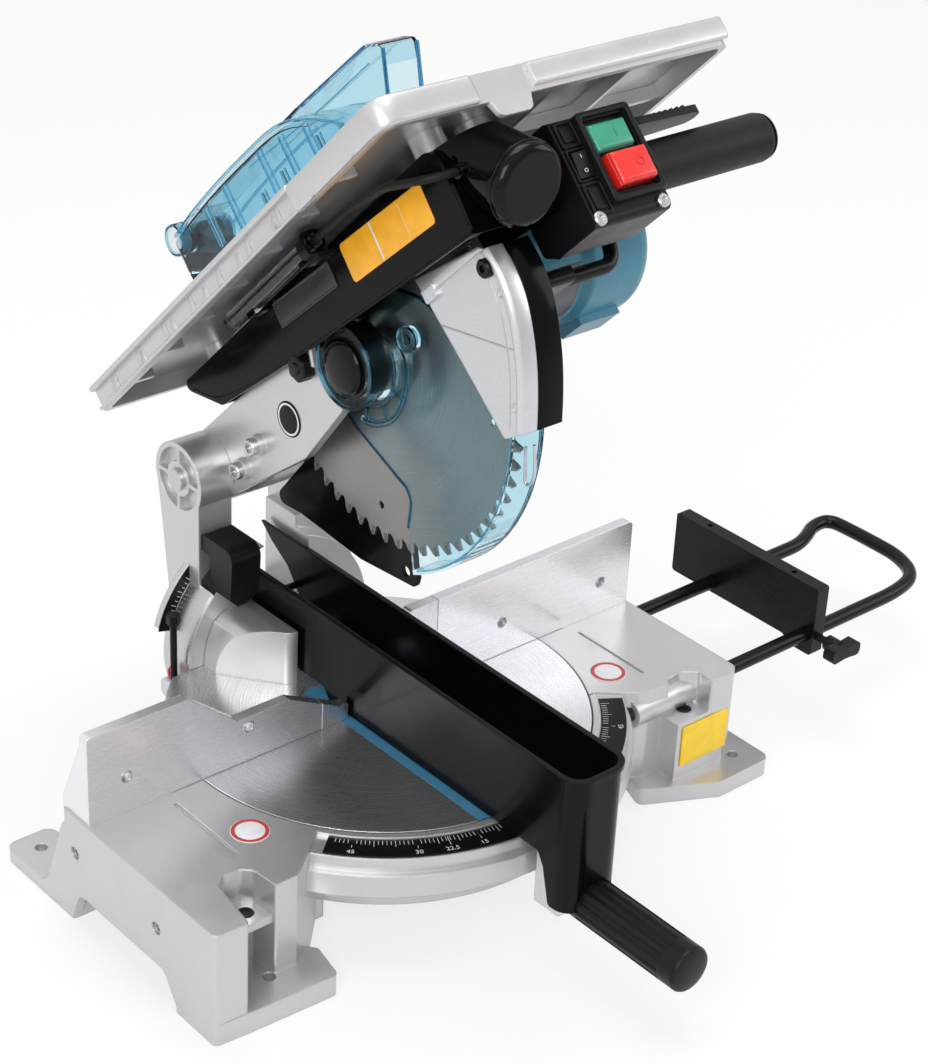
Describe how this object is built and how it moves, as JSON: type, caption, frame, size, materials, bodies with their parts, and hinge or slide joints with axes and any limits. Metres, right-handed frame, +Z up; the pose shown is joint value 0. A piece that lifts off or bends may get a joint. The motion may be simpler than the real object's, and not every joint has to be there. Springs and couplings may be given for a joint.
{
  "type": "table mitre saw",
  "caption": "Mitre saw on a cast base with a turntable, tilting arm, swinging motor head, flip-up upper table, guarded blade and a pull-out rod extension.",
  "frame": {"origin": "the mitre axis where it meets the bench", "axes": "+X to the operator's right along the fence, +Y from the operator to the back, +Z up along the mitre axis"},
  "size_m": [0.7304, 0.5254, 0.5693],
  "materials": {
    "painted_casting": "silver satin paint on cast metal",
    "machined_aluminium": "machined, with turning marks",
    "brushed_aluminium": "brushed",
    "scale_strip": "black strip with a printed scale",
    "zinc_fasteners": "zinc plated",
    "black_steel": "black coated",
    "kerf_insert": "steel blue moulded plastic",
    "black_plastic": "fine grained moulded plastic",
    "gloss_black": "glossy moulded plastic",
    "black_case": "black satin paint",
    "teal_housing": "moulded plastic",
    "guard_blue": "clear blue moulded plastic",
    "black_rubber": "soft rubber",
    "green_button": "moulded plastic",
    "red_button": "moulded plastic",
    "blade_steel": "ground, with carbide teeth",
    "steel": "machined",
    "copper": "enamelled wire",
    "clear_sleeve": "clear tube",
    "silver_panel": "silver paint on sheet metal"
  },
  "bodies": {
    "base": {"base_casting": "painted_casting", "mitre_scale": "scale_strip", "left_fence": "brushed_aluminium", "right_fence": "brushed_aluminium", "base_screws": "zinc_fasteners", "pivot_bolt": "steel"},
    "turntable": {"turntable": "machined_aluminium", "kerf_board": "kerf_insert", "tilt_support": "painted_casting", "stop_bolt": "black_steel", "tilt_bolt": "steel"},
    "turn_handle": {"turn_handle_rod": "steel", "turn_handle_grip": "black_plastic"},
    "trough": {"trough_cover": "black_plastic"},
    "bevel_arm": {"bevel_arm": "painted_casting", "trough_tail": "black_plastic", "spring_cover": "black_plastic", "head_spring": "steel", "hinge_pin": "steel"},
    "tilt_lock": {"tilt_lock_lever": "black_plastic"},
    "stop_pin": {"head_stop_pin": "steel"},
    "head": {"head_arm": "painted_casting", "upper_case": "black_case", "blade_case": "silver_panel", "case_strip": "black_plastic", "rear_case": "black_case", "gear_case": "painted_casting", "motor_housing": "teal_housing", "stator": "copper", "bearings": "steel", "motor_bracket": "black_steel", "brush_caps": "black_plastic", "guard_hub": "black_plastic", "switch_box": "black_plastic", "front_grip": "black_rubber", "lamp_housing": "gloss_black", "lamp_cap": "gloss_black", "lamp_lead": "black_rubber", "lead_sleeve": "clear_sleeve", "cord_inlet": "black_rubber", "riving_knife": "blade_steel", "guard_bracket": "black_plastic"},
    "blade": {"blade": "blade_steel", "blade_flanges": "steel", "blade_bolt": "black_steel", "spindle": "steel"},
    "idler": {"idler_shaft": "steel"},
    "armature": {"armature": "steel"},
    "lower_guard": {"lower_guard": "guard_blue"},
    "start_button": {"start_button": "green_button"},
    "stop_button": {"stop_button": "red_button"},
    "light_rocker": {"light_rocker": "black_plastic"},
    "release_lever": {"release_lever": "black_plastic"},
    "upper_table": {"upper_table": "painted_casting", "table_posts": "steel"},
    "table_lock": {"table_lock_knob": "black_plastic"},
    "upper_guard": {"upper_guard": "guard_blue"},
    "extension": {"rod_loop": "black_steel"},
    "stop": {"stop_plate": "black_steel"},
    "wing": {"wing_screw": "black_plastic"}
  },
  "joints": [
    {"name": "mitre", "type": "hinge", "parent": "base", "child": "turntable", "pos_m": [0, 0, 0.085], "axis": [0, 0, -1], "range_deg": [-50, 45]},
    {"name": "handle_turn", "type": "hinge", "parent": "turntable", "child": "turn_handle", "pos_m": [0, -0.25, 0.052], "axis": [0, 1, 0], "range_deg": [-90, 0]},
    {"name": "trough_lift", "type": "slide", "parent": "turntable", "child": "trough", "axis": [0, 0, 1], "range_m": [0, 0.02]},
    {"name": "bevel", "type": "hinge", "parent": "turntable", "child": "bevel_arm", "pos_m": [0, 0.13, 0.085], "axis": [0, -1, 0], "range_deg": [0, 45]},
    {"name": "bevel_lock", "type": "hinge", "parent": "turntable", "child": "tilt_lock", "pos_m": [0, 0.175, 0.085], "axis": [0, 1, 0], "range_deg": [-30, 30]},
    {"name": "stop_pin_slide", "type": "slide", "parent": "bevel_arm", "child": "stop_pin", "axis": [-1, 0, 0], "range_m": [0, 0.008]},
    {"name": "head_swing", "type": "hinge", "parent": "bevel_arm", "child": "head", "pos_m": [0, 0.153, 0.215], "axis": [-1, 0, 0], "range_deg": [-45, 0], "stiffness_Nm_per_rad": 22, "springref_deg": 91.67},
    {"name": "blade_spin", "type": "hinge", "parent": "head", "child": "blade", "pos_m": [0, 0.00331, 0.34588], "axis": [1, 0, 0], "continuous": true},
    {"name": "idler_spin", "type": "hinge", "parent": "head", "child": "idler", "pos_m": [0, -0.00559, 0.38872], "axis": [1, 0, 0], "continuous": true},
    {"name": "motor_spin", "type": "hinge", "parent": "head", "child": "armature", "pos_m": [0, -0.02215, 0.40811], "axis": [1, 0, 0], "continuous": true},
    {"name": "guard_swing", "type": "hinge", "parent": "head", "child": "lower_guard", "pos_m": [0, 0.00543, 0.35084], "axis": [-1, 0, 0], "range_deg": [0, 56.5]},
    {"name": "start_press", "type": "slide", "parent": "head", "child": "start_button", "axis": [0, 0.7071, -0.7071], "range_m": [0, 0.003], "stiffness_N_per_m": 400},
    {"name": "stop_press", "type": "slide", "parent": "head", "child": "stop_button", "axis": [0, 0.7071, -0.7071], "range_m": [0, 0.003], "stiffness_N_per_m": 400},
    {"name": "light_rock", "type": "hinge", "parent": "head", "child": "light_rocker", "pos_m": [0.04, -0.1169, 0.50711], "axis": [1, 0, 0], "range_deg": [-8, 8]},
    {"name": "release_press", "type": "hinge", "parent": "head", "child": "release_lever", "pos_m": [0.097, -0.08614, 0.50675], "axis": [0, 0.7071, -0.7071], "range_deg": [0, 5], "stiffness_Nm_per_rad": 1.5, "springref_deg": -20.05},
    {"name": "table_height", "type": "slide", "parent": "head", "child": "upper_table", "axis": [0, 0.7071, 0.7071], "range_m": [0, 0.04]},
    {"name": "table_lock_turn", "type": "hinge", "parent": "head", "child": "table_lock", "pos_m": [0.03, 0.08816, 0.33174], "axis": [1, 0, 0], "range_deg": [-180, 180]},
    {"name": "upper_guard_swing", "type": "hinge", "parent": "head", "child": "upper_guard", "pos_m": [0, 0.20837, 0.36427], "axis": [-1, 0, 0], "range_deg": [0, 22.5]},
    {"name": "extension_slide", "type": "slide", "parent": "base", "child": "extension", "axis": [1, 0, 0], "range_m": [-0.015, 0.045]},
    {"name": "stop_slide", "type": "slide", "parent": "extension", "child": "stop", "axis": [1, 0, 0], "range_m": [-0.02, 0.075]},
    {"name": "wing_turn", "type": "hinge", "parent": "stop", "child": "wing", "pos_m": [0.34, -0.12, 0.067], "axis": [0, 1, 0], "range_deg": [-180, 180]}
  ],
  "couplings": [
    {"joint": "idler_spin", "follows": "blade_spin", "ratio": -2.5714},
    {"joint": "motor_spin", "follows": "blade_spin", "ratio": 6.1714},
    {"joint": "guard_swing", "follows": "head_swing", "ratio": -1.25},
    {"joint": "upper_guard_swing", "follows": "table_height", "rad_per_m": 9.6}
  ]
}
